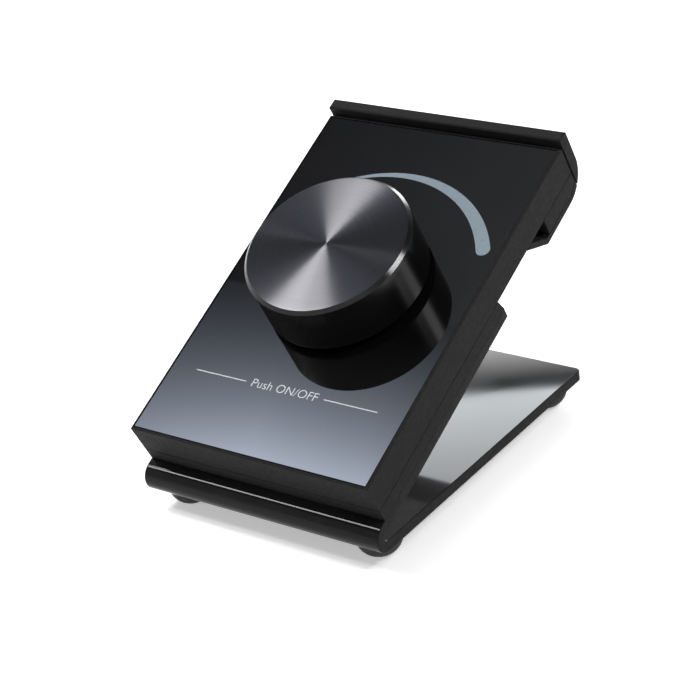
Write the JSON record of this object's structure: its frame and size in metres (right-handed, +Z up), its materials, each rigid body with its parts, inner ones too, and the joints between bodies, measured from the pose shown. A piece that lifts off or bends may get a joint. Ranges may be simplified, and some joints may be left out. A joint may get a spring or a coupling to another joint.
{
  "type": "led dimmer",
  "caption": "Desktop rotary light dimmer: a reclined glossy control face with one large turn-and-push knob, on a stand bent from one sheet with rubber feet.",
  "frame": {"origin": "on the table under the middle of the object", "axes": "+Z up, +X to the right of the person who faces it, front towards -Y"},
  "size_m": [0.072, 0.104, 0.0763],
  "materials": {
    "face_gloss": "gloss",
    "scale_ink": "matte",
    "housing_black": "fine grain",
    "cap_dark": "satin",
    "cover_dark": "fine grain",
    "stand_gloss": "gloss",
    "foot_rubber": "matte",
    "knob_metal": "turned",
    "hub_plastic": "matte",
    "encoder_metal": "plated",
    "encoder_plastic": "matte",
    "rotor_brass": "plated",
    "dome_rubber": "matte",
    "board_green": "satin",
    "chip_black": "matte",
    "shield_tin": "satin",
    "cell_sleeve": "satin",
    "contact_steel": "plated",
    "lead_insulation": "satin",
    "screw_black": "satin"
  },
  "bodies": {
    "base": {"face_plate": "face_gloss", "brightness_scale": "scale_ink", "front_housing": "housing_black", "rear_cover": "housing_black", "top_cap": "cap_dark", "circuit_board": "board_green", "control_chip": "chip_black", "radio_shield": "shield_tin", "battery_cell_upper": "cell_sleeve", "battery_cell_lower": "cell_sleeve", "contact_positive": "contact_steel", "contact_negative": "contact_steel", "contact_bridge": "contact_steel", "battery_leads": "lead_insulation", "cap_screws": "screw_black", "housing_screws_long": "screw_black", "housing_screws_short": "screw_black", "board_screws": "screw_black", "stand_screws": "screw_black", "encoder_bush": "encoder_metal", "encoder_body": "encoder_plastic", "switch_dome": "dome_rubber", "encoder_washer": "encoder_metal", "encoder_nut": "encoder_metal", "stand": "stand_gloss", "foot_front_left": "foot_rubber", "foot_front_right": "foot_rubber", "foot_rear_left": "foot_rubber", "foot_rear_right": "foot_rubber"},
    "rotor": {"encoder_rotor": "rotor_brass"},
    "knob": {"knob_shell": "knob_metal", "knob_hub": "hub_plastic", "encoder_shaft": "encoder_metal"},
    "battery_door": {"battery_cover": "cover_dark"}
  },
  "joints": [
    {"name": "knob_turn", "type": "hinge", "parent": "base", "child": "rotor", "pos_m": [0, -0.00284, 0.04952], "axis": [0, -0.4384, 0.8988], "continuous": true},
    {"name": "knob_push", "type": "slide", "parent": "rotor", "child": "knob", "axis": [0, 0.4384, -0.8988], "range_m": [0, 0.0015], "stiffness_N_per_m": 2000, "springref_m": -0.0005, "deforming": ["switch_dome"]},
    {"name": "battery_cover_slide", "type": "slide", "parent": "base", "child": "battery_door", "axis": [-1, 0, 0], "range_m": [0, 0.06]}
  ]
}
